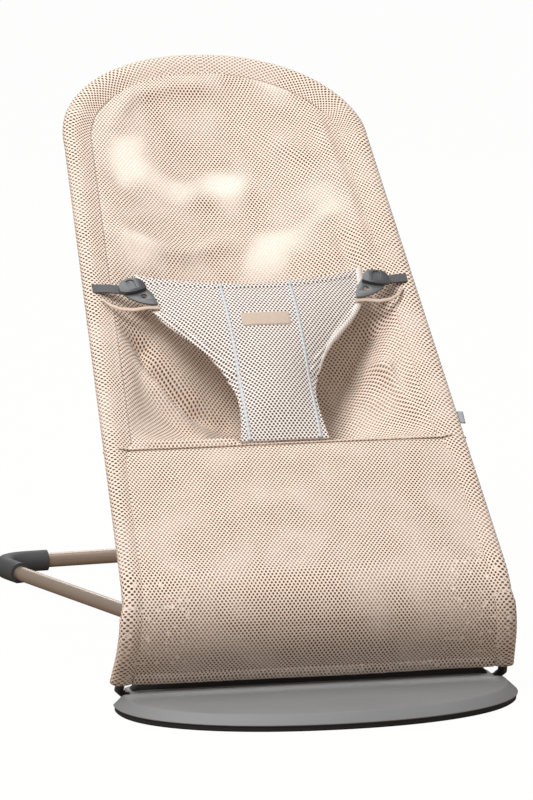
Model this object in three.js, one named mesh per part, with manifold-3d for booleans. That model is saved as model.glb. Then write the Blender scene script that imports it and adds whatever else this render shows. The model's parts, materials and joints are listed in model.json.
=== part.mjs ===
// Bouncer seat: a half-moon foot plate and a wishbone tube stand on the floor, and a
// fabric seat on a bent wire frame leans on a folding prop wire with three notches.
// Units are millimetres: X is across the seat, +Y is to the rear and +Z is up.
import * as THREE from "three";
import * as BufferGeometryUtils from "three/addons/utils/BufferGeometryUtils.js";
import Module from "manifold-3d";

const wasm = await Module();
wasm.setup();

// ---- driving dimensions ----
const GAP = 0.3;
const RAD = Math.PI / 180;

const PLATE = { halfWidth: 193, front: -134, rear: 27, widestY: -22, bottom: 5.3, top: 16.5 };
const SOLE_TOP = 5;
const HINGE = { y: 0, z: 11, stubInner: 140, wireRadius: 4.5, x: 186 };
const NOTCH = { inner: 175.5, front: -13 };

const BASE_TUBE = { radius: 7.5, z: 10, neckX: 45, neckFront: 36, neckRear: 205 };
const REAR_CORNER = { x: 190, y: 632, bend: 30, bow: 18, arm: 58, radius: 11 };
const SOCKET = { front: 27.3, rear: 90, halfWidth: 62, bottom: 1, top: 20.5 };
const SCREW = { x: 22, ys: [44, 74], head: 4.2, shank: 2, depth: 9, rise: 1.6 };

const TILT = 39.66;
const RAIL = { height: 95, taper: 0.0565, legTop: 14, bend: 60 };
const SLEEVE_INSET = 8;
const FABRIC_INSET = 14;
const HIP = { s: 460, tongue: 4, cheek: 2.4, pin: 2.2, height: 9 };
const HEAD = { s: 612, halfWidth: 153, rise: 119 };
const CREASE = 218;

const PROP = {
  y: 171.8, z: 28, radius: 4, footHalf: 106, halfWidth: 149, length: 259, angle: 80, ratio: 2,
};
const RACK = { inner: 152.5, outer: 156.5, clearance: 0.5, notch: 1.2, lastStop: 20 };
const BUTTON = { x: 121.5, s: 408, n: 111.8, thick: 4 };
const FABRIC_THICK = 4;

// ---- solids and booleans ----
function weld(geometry) {
  const bare = geometry.clone();
  bare.deleteAttribute("normal");
  bare.deleteAttribute("uv");
  return BufferGeometryUtils.mergeVertices(bare, 1e-4);
}

function toSolid(geometry) {
  const merged = weld(geometry);
  return new wasm.Manifold(new wasm.Mesh({
    numProp: 3,
    vertProperties: new Float32Array(merged.attributes.position.array),
    triVerts: new Uint32Array(merged.index.array),
  }));
}

function toGeometry(solid) {
  const mesh = solid.getMesh();
  const geometry = new THREE.BufferGeometry();
  geometry.setAttribute("position", new THREE.BufferAttribute(mesh.vertProperties, 3));
  geometry.setIndex(new THREE.BufferAttribute(mesh.triVerts, 1));
  geometry.computeVertexNormals();
  return geometry;
}

function cut(body, ...tools) {
  return toGeometry(tools.reduce((left, tool) => left.subtract(toSolid(tool)), toSolid(body)));
}

function join(...pieces) {
  return toGeometry(pieces.slice(1).reduce((all, piece) => all.add(toSolid(piece)), toSolid(pieces[0])));
}

function box(low, high) {
  const size = high.map((value, i) => value - low[i]);
  const geometry = new THREE.BoxGeometry(...size);
  return geometry.translate(...low.map((value, i) => value + size[i] / 2));
}

// A round bar along X between two x values.
function barX(radius, from, to, y, z, sides = 16) {
  const geometry = new THREE.CylinderGeometry(radius, radius, to - from, sides);
  return geometry.rotateZ(Math.PI / 2).translate((from + to) / 2, y, z);
}

// A round bar along Y between two y values.
function barY(radius, from, to, x, z, sides = 20) {
  return new THREE.CylinderGeometry(radius, radius, to - from, sides).translate(x, (from + to) / 2, z);
}

// A round bar along Z between two z values.
function barZ(radius, from, to, x, y, sides = 14) {
  const geometry = new THREE.CylinderGeometry(radius, radius, to - from, sides);
  return geometry.rotateX(Math.PI / 2).translate(x, y, (from + to) / 2);
}

// Straight runs joined by rounded bends, as a bent wire is.
function wirePath(points, bends) {
  const path = new THREE.CurvePath();
  let from = points[0];
  points.slice(1, -1).forEach((corner, i) => {
    const into = corner.clone().sub(points[i]).normalize();
    const out = points[i + 2].clone().sub(corner).normalize();
    const reach = bends[i] * Math.tan(into.angleTo(out) / 2);
    const start = corner.clone().addScaledVector(into, -reach);
    const end = corner.clone().addScaledVector(out, reach);
    path.add(new THREE.LineCurve3(from, start));
    path.add(new THREE.QuadraticBezierCurve3(start, corner, end));
    from = end;
  });
  path.add(new THREE.LineCurve3(from, points[points.length - 1]));
  return path;
}

function circleShape(radius, sides) {
  const shape = new THREE.Shape();
  for (let i = 0; i < sides; i += 1) {
    const turn = (i / sides) * 2 * Math.PI;
    const point = [radius * Math.cos(turn), radius * Math.sin(turn)];
    if (i === 0) shape.moveTo(...point);
    else shape.lineTo(...point);
  }
  return shape;
}

function wire(path, radius, steps, sides = 12) {
  return new THREE.ExtrudeGeometry(circleShape(radius, sides), { steps, extrudePath: path });
}

function vec(x, y, z) {
  return new THREE.Vector3(x, y, z);
}

// A closed sheet of even thickness over a grid; point(v, u) gives its middle surface.
function sheet(point, rows, columns, thickness) {
  const position = [];
  const index = [];
  const side = (rows + 1) * (columns + 1);
  const middle = (v, u) => point(Math.min(Math.max(v, 0), 1), Math.min(Math.max(u, -1), 1));
  [0.5, -0.5].forEach((half) => {
    for (let row = 0; row <= rows; row += 1) {
      for (let column = 0; column <= columns; column += 1) {
        const v = row / rows;
        const u = (2 * column) / columns - 1;
        const along = middle(v + 0.01, u).sub(middle(v - 0.01, u));
        const across = middle(v, u + 0.01).sub(middle(v, u - 0.01));
        const out = across.cross(along).normalize();
        position.push(...middle(v, u).addScaledVector(out, half * thickness).toArray());
      }
    }
  });
  const at = (layer, row, column) => layer * side + row * (columns + 1) + column;
  const quad = (a, b, c, d) => index.push(a, b, c, a, c, d);
  for (let row = 0; row < rows; row += 1) {
    for (let column = 0; column < columns; column += 1) {
      quad(at(0, row, column), at(0, row, column + 1), at(0, row + 1, column + 1), at(0, row + 1, column));
      quad(at(1, row, column), at(1, row + 1, column), at(1, row + 1, column + 1), at(1, row, column + 1));
    }
    quad(at(0, row, 0), at(0, row + 1, 0), at(1, row + 1, 0), at(1, row, 0));
    quad(at(0, row, columns), at(1, row, columns), at(1, row + 1, columns), at(0, row + 1, columns));
  }
  for (let column = 0; column < columns; column += 1) {
    quad(at(0, 0, column), at(1, 0, column), at(1, 0, column + 1), at(0, 0, column + 1));
    quad(at(0, rows, column), at(0, rows, column + 1), at(1, rows, column + 1), at(1, rows, column));
  }
  const geometry = new THREE.BufferGeometry();
  geometry.setAttribute("position", new THREE.Float32BufferAttribute(position, 3));
  geometry.setIndex(index);
  geometry.computeVertexNormals();
  return geometry;
}

// ---- the object's groups ----
const object = new THREE.Group();
const stand = new THREE.Group();
object.add(stand);

// Inside the seat group, Y runs up along the rails and Z stands out of the seat's front.
const seat = new THREE.Group();
seat.position.set(0, HINGE.y, HINGE.z);
seat.rotation.x = TILT * RAD;
stand.add(seat);

// Inside the prop group, Y runs from the pivot bar up along the arms.
const prop = new THREE.Group();
prop.position.set(0, PROP.y, PROP.z);
prop.rotation.x = PROP.angle * RAD;
stand.add(prop);

const FINISHES = {
  plate: { color: 0x6f6f6f, roughness: 0.6, metalness: 0 },
  rubber: { color: 0x2a2a2a, roughness: 0.85, metalness: 0 },
  grip: { color: 0x4a4a4a, roughness: 0.8, metalness: 0 },
  champagne: { color: 0x9a8575, roughness: 0.35, metalness: 0.8 },
  blackWire: { color: 0x1e1e1e, roughness: 0.45, metalness: 0.4 },
  steel: { color: 0xb0b0b0, roughness: 0.3, metalness: 1 },
  mesh: { color: 0xe3cbb8, roughness: 0.9, metalness: 0 },
  panel: { color: 0xece4dc, roughness: 0.9, metalness: 0 },
  button: { color: 0x55575a, roughness: 0.5, metalness: 0 },
  webbing: { color: 0x4b4c50, roughness: 0.9, metalness: 0 },
};

function place(group, name, geometry, finish) {
  const mesh = new THREE.Mesh(geometry, new THREE.MeshStandardMaterial(FINISHES[finish]));
  mesh.name = name;
  group.add(mesh);
}

const SIDES = [["left", -1], ["right", 1]];

// ---- foot plate: a half moon with a straight rear edge and a chamfered rim ----
function plateOutline(inset) {
  const across = (PLATE.halfWidth - inset) / PLATE.halfWidth;
  const middleY = (PLATE.front + PLATE.rear) / 2;
  const halfDepth = (PLATE.rear - PLATE.front) / 2;
  const along = (halfDepth - inset) / halfDepth;
  const shape = new THREE.Shape();
  shape.moveTo(-166, PLATE.rear);
  shape.quadraticCurveTo(-PLATE.halfWidth, PLATE.rear, -PLATE.halfWidth, PLATE.widestY);
  const depth = PLATE.widestY - PLATE.front;
  shape.absellipse(0, PLATE.widestY, PLATE.halfWidth, depth, Math.PI, 2 * Math.PI, false, 0);
  shape.quadraticCurveTo(PLATE.halfWidth, PLATE.rear, 166, PLATE.rear);
  const points = shape.getPoints(20).filter((point, i, all) => (
    point.distanceTo(all[(i + 1) % all.length]) > 0.01));
  return points.map((point) => new THREE.Vector2(
    point.x * across, middleY + (point.y - middleY) * along));
}

// Rings of the same outline stacked up, closed by flat ends.
function stacked(layers) {
  const rings = layers.map(([z, inset]) => plateOutline(inset).map((p) => [p.x, p.y, z]));
  const count = rings[0].length;
  const index = [];
  for (let layer = 0; layer < rings.length - 1; layer += 1) {
    for (let i = 0; i < count; i += 1) {
      const next = (i + 1) % count;
      const low = layer * count;
      index.push(low + i, low + next, low + count + next);
      index.push(low + i, low + count + next, low + count + i);
    }
  }
  const top = (rings.length - 1) * count;
  const contour = plateOutline(layers[0][1]);
  THREE.ShapeUtils.triangulateShape(contour, []).forEach(([a, b, c]) => {
    index.push(a, c, b);
    index.push(top + a, top + b, top + c);
  });
  const geometry = new THREE.BufferGeometry();
  geometry.setAttribute("position", new THREE.Float32BufferAttribute(rings.flat(2), 3));
  geometry.setIndex(index);
  geometry.computeVertexNormals();
  return geometry;
}

function footPlate() {
  const plate = stacked([[PLATE.bottom, 2], [8, 0], [10.5, 0], [14.5, 8], [PLATE.top, 17]]);
  const tools = SIDES.flatMap(([, side]) => {
    const near = side * (HINGE.stubInner - 1);
    const far = side * 205;
    const bore = barX(HINGE.wireRadius + GAP, Math.min(near, far), Math.max(near, far), HINGE.y, HINGE.z);
    const inner = side * NOTCH.inner;
    const notch = box([Math.min(inner, far), NOTCH.front, 0], [Math.max(inner, far), 40, 30]);
    return [bore, notch];
  });
  return cut(plate, ...tools);
}

function plateSole() {
  const sole = stacked([[0, 4], [SOLE_TOP, 2]]);
  const tools = SIDES.map(([, side]) => {
    const inner = side * NOTCH.inner;
    const far = side * 205;
    return box([Math.min(inner, far), NOTCH.front, -5], [Math.max(inner, far), 40, 30]);
  });
  return cut(sole, ...tools);
}

place(stand, "foot_plate", footPlate(), "plate");
place(stand, "plate_sole", plateSole(), "rubber");

// ---- tube socket behind the plate, with its screws ----
function tubeSocket() {
  const block = box([-SOCKET.halfWidth, SOCKET.front, SOCKET.bottom],
    [SOCKET.halfWidth, SOCKET.rear, SOCKET.top]);
  const chamfers = SIDES.map(([, side]) => {
    const wedge = box([-12, -60, -12], [12, 60, 12]).rotateY(Math.PI / 4);
    return wedge.translate(side * (SOCKET.halfWidth + 9), SOCKET.rear - 20, SOCKET.top + 3);
  });
  const tubes = SIDES.map(([, side]) => barY(BASE_TUBE.radius + GAP, BASE_TUBE.neckFront - GAP,
    SOCKET.rear + 5, side * BASE_TUBE.neckX, BASE_TUBE.z));
  const holes = SIDES.flatMap(([, side]) => SCREW.ys.map((y) => (
    barZ(SCREW.shank + GAP, SOCKET.top - SCREW.depth - GAP, SOCKET.top + 5, side * SCREW.x, y))));
  return cut(block, ...chamfers, ...tubes, ...holes);
}

// A pan-head screw seated on the socket's top face.
function socketScrew(x, y) {
  const profile = [[0, -SCREW.depth], [SCREW.shank, -SCREW.depth], [SCREW.shank, GAP],
    [SCREW.head, GAP], [SCREW.head, 1], [SCREW.head * 0.6, SCREW.rise], [0, SCREW.rise]];
  const geometry = new THREE.LatheGeometry(profile.map((p) => new THREE.Vector2(...p)), 14);
  return geometry.rotateX(Math.PI / 2).translate(x, y, SOCKET.top);
}

place(stand, "tube_socket", tubeSocket(), "plate");
SIDES.forEach(([label, side]) => {
  SCREW.ys.forEach((y, i) => {
    place(stand, `socket_screw_${label}_${i + 1}`, socketScrew(side * SCREW.x, y), "steel");
  });
});

// ---- base tube: a wishbone that runs back to a rear cross piece ----
function basePoints() {
  const z = BASE_TUBE.z;
  const half = [vec(BASE_TUBE.neckX, BASE_TUBE.neckFront, z), vec(BASE_TUBE.neckX, BASE_TUBE.neckRear, z),
    vec(REAR_CORNER.x, REAR_CORNER.y, z)];
  const middle = vec(0, REAR_CORNER.y + REAR_CORNER.bow, z);
  const mirrored = half.map((point) => vec(-point.x, point.y, z)).reverse();
  return [...half, middle, ...mirrored];
}

const baseBends = [60, REAR_CORNER.bend, 600, REAR_CORNER.bend, 60];
function baseWire(radius) {
  return wire(wirePath(basePoints(), baseBends), radius, 100);
}

place(stand, "base_tube", baseWire(BASE_TUBE.radius), "champagne");

// ---- rear feet: rubber elbows around the rear corners, cut flat underneath ----
function rearFoot(side) {
  const z = BASE_TUBE.z;
  const corner = vec(REAR_CORNER.x, REAR_CORNER.y, z);
  const front = vec(BASE_TUBE.neckX, BASE_TUBE.neckRear, z).sub(corner).setLength(REAR_CORNER.arm);
  const inner = vec(0, REAR_CORNER.y + REAR_CORNER.bow, z).sub(corner).setLength(REAR_CORNER.arm);
  const points = [corner.clone().add(front), corner, corner.clone().add(inner)];
  const path = wirePath(points, [REAR_CORNER.bend]);
  const shell = wire(path, REAR_CORNER.radius, 14, 18);
  const floor = box([-300, 400, -20], [300, 800, 0]);
  const geometry = cut(shell, baseWire(BASE_TUBE.radius + GAP), floor);
  return side < 0 ? mirrored(geometry) : geometry;
}

function mirrored(geometry) {
  const copy = geometry.clone().scale(-1, 1, 1);
  const index = copy.index.array;
  for (let i = 0; i < index.length; i += 3) {
    [index[i + 1], index[i + 2]] = [index[i + 2], index[i + 1]];
  }
  copy.computeVertexNormals();
  return copy;
}

// ---- prop saddles: clips on the two neck tubes that hold the prop's pivot bar ----
function propSaddle(side) {
  const x = side * BASE_TUBE.neckX;
  const block = box([x - 10.5, PROP.y - 12, 3], [x + 10.5, PROP.y + 12, PROP.z + 8]);
  const tube = barY(BASE_TUBE.radius + GAP, PROP.y - 20, PROP.y + 20, x, BASE_TUBE.z);
  const pivot = barX(PROP.radius + GAP, x - 20, x + 20, PROP.y, PROP.z);
  const mouth = box([x - 4, PROP.y - 20, -5], [x + 4, PROP.y + 20, BASE_TUBE.z]);
  return cut(block, tube, pivot, mouth);
}

SIDES.forEach(([label, side]) => {
  place(stand, `rear_foot_${label}`, rearFoot(side), "grip");
  place(stand, `prop_saddle_${label}`, propSaddle(side), "plate");
});

// ---- prop: one U-shaped wire with a peg across each arm's end ----
function propWire() {
  const end = PROP.length - PROP.radius - 4 * GAP;
  const points = [vec(PROP.halfWidth, end, 0), vec(PROP.footHalf, 0, 0),
    vec(-PROP.footHalf, 0, 0), vec(-PROP.halfWidth, end, 0)];
  return wire(wirePath(points, [14, 14]), PROP.radius, 60, 10);
}

place(prop, "prop_wire", propWire(), "blackWire");
SIDES.forEach(([label, side]) => {
  const ends = [side * (PROP.halfWidth - 6), side * (RACK.outer + 3)];
  const peg = barX(PROP.radius, Math.min(...ends), Math.max(...ends), PROP.length, 0);
  place(prop, `prop_peg_${label}`, peg, "rubber");
});

// ---- rails: each a bent wire from a hinge stub, round the knee bend, up to the hip ----
function halfWidth(s, inset) {
  if (s <= HEAD.s) return HEAD.halfWidth + (HEAD.s - s) * RAIL.taper - inset;
  const climb = (s - HEAD.s) / (HEAD.rise - inset);
  return (HEAD.halfWidth - inset) * Math.sqrt(Math.max(0, 1 - climb * climb));
}

function railWire(side) {
  const kneeX = side * halfWidth(RAIL.legTop, SLEEVE_INSET);
  const top = HIP.s - 12;
  const points = [vec(side * HINGE.stubInner, 0, 0), vec(side * HINGE.x, 0, 0),
    vec(kneeX, RAIL.legTop, RAIL.height), vec(side * halfWidth(top, SLEEVE_INSET), top, RAIL.height)];
  return wire(wirePath(points, [9, RAIL.bend]), HINGE.wireRadius, 44, 12);
}

// A flat tongue on the rail's end, with the pin's hole.
function hipTongue(side) {
  const x = side * halfWidth(HIP.s, SLEEVE_INSET);
  const half = HIP.tongue / 2;
  const plate = box([x - half, HIP.s - 11.3, RAIL.height - HIP.height / 2],
    [x + half, HIP.s + 6, RAIL.height + HIP.height / 2]);
  const hole = barX(HIP.pin + GAP, x - 9, x + 9, HIP.s, RAIL.height);
  return cut(plate, hole);
}

// A fork on the back hoop's end, with a cheek on each side of the tongue.
function hipFork(side) {
  const x = side * halfWidth(HIP.s, SLEEVE_INSET);
  const inner = HIP.tongue / 2 + GAP;
  const outer = inner + HIP.cheek;
  const low = RAIL.height - HIP.height / 2;
  const high = RAIL.height + HIP.height / 2;
  const block = box([x - outer, HIP.s - 6, low], [x + outer, HIP.s + 12, high]);
  const slot = box([x - inner, HIP.s - 9, low - 5], [x + inner, HIP.s + 8.2, high + 5]);
  const hole = barX(HIP.pin + GAP, x - 9, x + 9, HIP.s, RAIL.height);
  return cut(block, slot, hole);
}

function hipPin(side) {
  const x = side * halfWidth(HIP.s, SLEEVE_INSET);
  const reach = HIP.tongue / 2 + GAP + HIP.cheek;
  return barX(HIP.pin, x - reach, x + reach, HIP.s, RAIL.height, 20);
}

// ---- back hoop: one wire that runs up, over the head end and down again ----
function backHoop() {
  const start = HIP.s + 12.8;
  const points = [];
  const side = [0, 0.5];
  side.forEach((t) => {
    const s = start + t * (HEAD.s - start);
    points.push(vec(halfWidth(s, SLEEVE_INSET), s, RAIL.height));
  });
  for (let turn = 0; turn <= 180; turn += 15) {
    const across = (HEAD.halfWidth - SLEEVE_INSET) * Math.cos(turn * RAD);
    const up = (HEAD.rise - SLEEVE_INSET) * Math.sin(turn * RAD);
    points.push(vec(across, HEAD.s + up, RAIL.height));
  }
  side.reverse().forEach((t) => {
    const s = start + t * (HEAD.s - start);
    points.push(vec(-halfWidth(s, SLEEVE_INSET), s, RAIL.height));
  });
  return wire(new THREE.CatmullRomCurve3(points), HINGE.wireRadius, 60, 12);
}

// ---- catch racks: notched plates under the rails that rest on the prop's pegs ----
// Where the peg's centre is in the seat group when the seat has folded by some degrees.
function pegPlace(fold) {
  const swing = (PROP.angle - PROP.ratio * fold) * RAD;
  const y = PROP.y + PROP.length * Math.cos(swing) - HINGE.y;
  const z = PROP.z + PROP.length * Math.sin(swing) - HINGE.z;
  const lean = (TILT - fold) * RAD;
  const along = y * Math.cos(lean) + z * Math.sin(lean);
  return new THREE.Vector2(along, z * Math.cos(lean) - y * Math.sin(lean));
}

function rackEdge() {
  const edge = [];
  for (let fold = -2; fold <= RACK.lastStop + 2; fold += 0.5) {
    const ahead = pegPlace(fold + 0.2).sub(pegPlace(fold - 0.2)).normalize();
    const away = new THREE.Vector2(-ahead.y, ahead.x);
    const stop = Math.cos((fold / (RACK.lastStop / 2)) * 2 * Math.PI);
    const offset = PROP.radius + RACK.clearance + RACK.notch * Math.max(0, stop) ** 2;
    edge.push(pegPlace(fold).addScaledVector(away, offset));
  }
  return edge;
}

const RIVET = { head: 3.4, shank: 1.8, rise: 1.2, n: 83.5 };

function rackRivetPlaces() {
  const edge = rackEdge();
  return [edge[0].x + 6, edge[edge.length - 1].x - 8];
}

function catchRack(side) {
  const edge = rackEdge();
  const top = RAIL.height - HINGE.wireRadius - GAP;
  const last = edge[edge.length - 1];
  const outline = [...edge, new THREE.Vector2(last.x + 4, last.y + 6),
    new THREE.Vector2(last.x + 4, top), new THREE.Vector2(edge[0].x - 8, top)];
  const plate = new THREE.ExtrudeGeometry(new THREE.Shape(outline),
    { depth: RACK.outer - RACK.inner, bevelEnabled: false });
  // The outline's plane (s, n) turns to stand across X.
  plate.applyMatrix4(new THREE.Matrix4().set(0, 0, 1, 0, 1, 0, 0, 0, 0, 1, 0, 0, 0, 0, 0, 1));
  plate.translate(side > 0 ? RACK.inner : -RACK.outer, 0, 0);
  const holes = rackRivetPlaces().map((s) => barX(RIVET.shank + GAP, -200, 200, s, RIVET.n, 16));
  return cut(plate, ...holes);
}

function rackRivet(side, s) {
  const length = RACK.outer - RACK.inner + 2 * GAP;
  const profile = [[0, -RIVET.rise], [RIVET.head, -RIVET.rise], [RIVET.head, 0], [RIVET.shank, 0],
    [RIVET.shank, length], [RIVET.head, length], [RIVET.head, length + RIVET.rise],
    [0, length + RIVET.rise]];
  const geometry = new THREE.LatheGeometry(profile.map((p) => new THREE.Vector2(...p)), 12);
  const start = side > 0 ? RACK.inner - GAP : -RACK.inner + GAP;
  return geometry.rotateZ(-side * Math.PI / 2).translate(start, s, RIVET.n);
}

SIDES.forEach(([label, side]) => {
  place(seat, `rail_${label}`, railWire(side), "blackWire");
  place(seat, `hip_tongue_${label}`, hipTongue(side), "steel");
  place(seat, `hip_fork_${label}`, hipFork(side), "steel");
  place(seat, `hip_pin_${label}`, hipPin(side), "steel");
  place(seat, `catch_rack_${label}`, catchRack(side), "button");
  rackRivetPlaces().forEach((s, i) => {
    place(seat, `rack_rivet_${label}_${i + 1}`, rackRivet(side, s), "steel");
  });
});
place(seat, "back_hoop", backHoop(), "blackWire");

// ---- seat fabric: a leg part round the knee bend, a crease, then a hanging pocket ----
const EDGE_LINE = new THREE.SplineCurve([[2, 20], [5, 40], [16, 72], [46, 93], [95, 95], [217, 95],
  [240, 95], [290, 95], [350, 95], [405, 95], [452, 95]].map((p) => new THREE.Vector2(...p)));
const MIDDLE_LINE = new THREE.SplineCurve([[0.5, 20], [2, 40], [13, 74], [44, 96], [95, 97], [217, 91],
  [240, 58], [290, 30], [350, 43], [405, 58], [452, 69]].map((p) => new THREE.Vector2(...p)));

function seatFabricPoint(v, u) {
  const edge = EDGE_LINE.getPoint(v);
  const dip = MIDDLE_LINE.getPoint(v).sub(edge).multiplyScalar(1 - u * u);
  const legWidth = HINGE.x + SLEEVE_INSET - FABRIC_INSET;
  const kneeWidth = halfWidth(RAIL.height, FABRIC_INSET);
  const rise = Math.min(1, Math.max(0, edge.y / RAIL.height));
  const onLeg = edge.x <= RAIL.height;
  const reach = onLeg ? legWidth + (kneeWidth - legWidth) * rise : halfWidth(edge.x, FABRIC_INSET);
  return vec(u * reach, edge.x + dip.x, edge.y + dip.y);
}

// ---- back fabric: from the hip up to the rounded head end, with a light sag ----
function backFabricPoint(v, u) {
  const straight = 0.55;
  const start = HIP.s + 8;
  const lean = Math.max(0, (v - straight) / (1 - straight)) * 78 * RAD;
  const rise = (HEAD.rise - FABRIC_INSET) * Math.sin(lean);
  const s = v <= straight ? start + (v / straight) * (HEAD.s - start) : HEAD.s + rise;
  const sag = 25 * Math.cos(Math.min(1, v * v) * Math.PI / 2);
  return vec(u * halfWidth(s, FABRIC_INSET), s, RAIL.height - sag * (1 - u * u));
}

place(seat, "fabric_seat", sheet(seatFabricPoint, 30, 10, FABRIC_THICK), "mesh");
place(seat, "fabric_back", sheet(backFabricPoint, 16, 10, FABRIC_THICK), "mesh");

// ---- restraint panel: narrow between the legs, wide under the arms ----
const PANEL_LINE = new THREE.SplineCurve([[CREASE + 3, 99], [262, 112], [305, 118], [345, 119],
  [380, 117], [406, 113]].map((p) => new THREE.Vector2(...p)));
const PANEL_WIDTH = new THREE.SplineCurve([[CREASE + 3, 43.5], [250, 39], [270, 38.5], [284, 41],
  [305, 49.5], [325, 62], [345, 81], [362, 97], [380, 108],
  [406, 114]].map((p) => new THREE.Vector2(...p)));
const PANEL_CORNER = { rise: 30, drop: 16 };

function panelHalfWidth(s) {
  const along = PANEL_WIDTH.points;
  const last = along.length - 2;
  const found = along.findIndex((point, i) => i <= last && s <= along[i + 1].x);
  const i = found < 0 ? last : found;
  const t = (s - along[i].x) / (along[i + 1].x - along[i].x);
  return along[i].y + (along[i + 1].y - along[i].y) * Math.min(1, Math.max(0, t));
}

function panelPoint(v, u) {
  const line = PANEL_LINE.getPoint(v);
  const rise = PANEL_CORNER.rise * u * u * v ** 3;
  const drop = PANEL_CORNER.drop * u * u * Math.min(1, 3 * v);
  return vec(u * panelHalfWidth(line.x), line.x + rise, line.y - drop);
}

const LABEL = { from: 0.61, to: 0.713, halfWidth: 24, rise: 2.9, thick: 1 };

// A blank satin label that lies on the panel's face.
function labelPoint(v, u) {
  const at = LABEL.from + v * (LABEL.to - LABEL.from);
  const across = (u * LABEL.halfWidth) / panelHalfWidth(PANEL_LINE.getPoint(at).x);
  return panelPoint(at, across).add(vec(0, 0, LABEL.rise));
}

place(seat, "restraint_panel", sheet(panelPoint, 18, 10, FABRIC_THICK), "panel");
place(seat, "panel_label", sheet(labelPoint, 3, 6, LABEL.thick), "webbing");

// ---- fastening at each upper corner: webbing strap, tab and swivelling button ----
const STRAP = { length: 42.5, width: 11, rise: 11, height: 106.9, fall: 6.1 };

function strapPoint(side) {
  return (v, u) => {
    const x = BUTTON.x - 4.5 + v * STRAP.length;
    const s = BUTTON.s + STRAP.rise * v + (side * u * STRAP.width) / 2;
    return vec(side * x, s, STRAP.height - v * STRAP.fall);
  };
}

function tabPlate(side) {
  const outline = new THREE.Shape();
  outline.moveTo(-19, 0);
  outline.quadraticCurveTo(-16, 12, 0, 11);
  outline.quadraticCurveTo(16, 9, 25, 0);
  outline.quadraticCurveTo(16, -9, 0, -11);
  outline.quadraticCurveTo(-16, -12, -19, 0);
  const plate = new THREE.ExtrudeGeometry(outline, { depth: 2, bevelEnabled: false, curveSegments: 8 });
  const stemHole = barZ(2.8, -3, 6, -6, 0);
  const keyHole = barZ(3, -3, 6, 9, 0);
  const turned = cut(plate, stemHole, keyHole).translate(6, 0, 0).rotateZ(-138 * RAD);
  const right = turned.translate(BUTTON.x, BUTTON.s, BUTTON.n - 2.4);
  return side > 0 ? right : mirrored(right);
}

function swivelButton(side) {
  const outline = new THREE.Shape();
  outline.moveTo(-13.5, -5);
  outline.bezierCurveTo(-14, 8, -7, 10, 0, 10);
  outline.bezierCurveTo(7, 10, 14, 8, 13.5, -5);
  outline.quadraticCurveTo(0, -9, -13.5, -5);
  const settings = { depth: BUTTON.thick, bevelEnabled: false, curveSegments: 10 };
  const disc = new THREE.ExtrudeGeometry(outline, settings);
  const stem = barZ(2.3, -3.4, 1, 0, 0);
  const tongue = new THREE.Shape();
  tongue.moveTo(-4, -3);
  tongue.lineTo(4, -3);
  tongue.lineTo(4, 6);
  tongue.quadraticCurveTo(0, 10, -4, 6);
  const groove = new THREE.ExtrudeGeometry(tongue, { depth: 2, bevelEnabled: false, curveSegments: 6 });
  const whole = join(disc, stem);
  return cut(whole, groove.translate(0, 0, BUTTON.thick - 1)).rotateZ(-side * 12 * RAD)
    .translate(side * BUTTON.x, BUTTON.s, BUTTON.n);
}

SIDES.forEach(([label, side]) => {
  place(seat, `strap_${label}`, sheet(strapPoint(side), 6, 2, 1.4), "webbing");
  place(seat, `panel_tab_${label}`, tabPlate(side), "button");
  place(seat, `button_${label}`, swivelButton(side), "button");
});

// ---- side tag: a plain folded tag sewn into the right edge ----
const TAG = { s: 243, length: 13, reach: 13, thick: 1.2 };
const tagStart = halfWidth(TAG.s, SLEEVE_INSET) + HINGE.wireRadius + GAP + 0.5;
place(seat, "side_tag", box([tagStart, TAG.s - TAG.length / 2, RAIL.height - TAG.thick / 2],
  [tagStart + TAG.reach, TAG.s + TAG.length / 2, RAIL.height + TAG.thick / 2]), "webbing");

// ---- the frame's origin is on the floor, in the middle of the length and the width ----
object.updateMatrixWorld(true);
const bounds = new THREE.Box3().setFromObject(object, true);
stand.position.y = -(bounds.min.y + bounds.max.y) / 2;

export default object;
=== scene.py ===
import json
import math
import bpy
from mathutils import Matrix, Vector, noise


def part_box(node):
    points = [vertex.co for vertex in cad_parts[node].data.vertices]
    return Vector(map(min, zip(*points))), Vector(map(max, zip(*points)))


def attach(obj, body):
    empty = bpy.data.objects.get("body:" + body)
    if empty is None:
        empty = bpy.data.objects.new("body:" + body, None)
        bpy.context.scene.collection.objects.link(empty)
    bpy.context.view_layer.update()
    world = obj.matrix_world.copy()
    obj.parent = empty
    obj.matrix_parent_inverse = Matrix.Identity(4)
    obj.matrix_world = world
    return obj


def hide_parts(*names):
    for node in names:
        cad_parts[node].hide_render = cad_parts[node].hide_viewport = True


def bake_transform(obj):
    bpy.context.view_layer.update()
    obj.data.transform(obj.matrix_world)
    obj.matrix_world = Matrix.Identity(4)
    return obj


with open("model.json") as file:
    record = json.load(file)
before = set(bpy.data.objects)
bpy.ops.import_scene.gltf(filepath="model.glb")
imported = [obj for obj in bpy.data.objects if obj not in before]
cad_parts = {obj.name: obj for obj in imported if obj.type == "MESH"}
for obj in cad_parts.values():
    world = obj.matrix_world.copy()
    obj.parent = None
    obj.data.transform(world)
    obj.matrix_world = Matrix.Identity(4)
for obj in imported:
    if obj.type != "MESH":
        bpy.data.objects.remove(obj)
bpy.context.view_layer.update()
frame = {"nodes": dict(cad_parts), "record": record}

# ---- camera ----
# A long lens in front of the seat, a little to the left and above it, so that the foot
# plate, the whole sling and one rear foot show.
CAMERA_PLACE = (-1.2378, -5.5015, 1.2497)
CAMERA_TURN = math.radians(-12.8435)
CAMERA_DOWN = math.radians(10.1516)
bpy.ops.object.camera_add(location=CAMERA_PLACE, rotation=(math.pi / 2 - CAMERA_DOWN, 0, CAMERA_TURN))
camera = bpy.context.object
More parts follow.
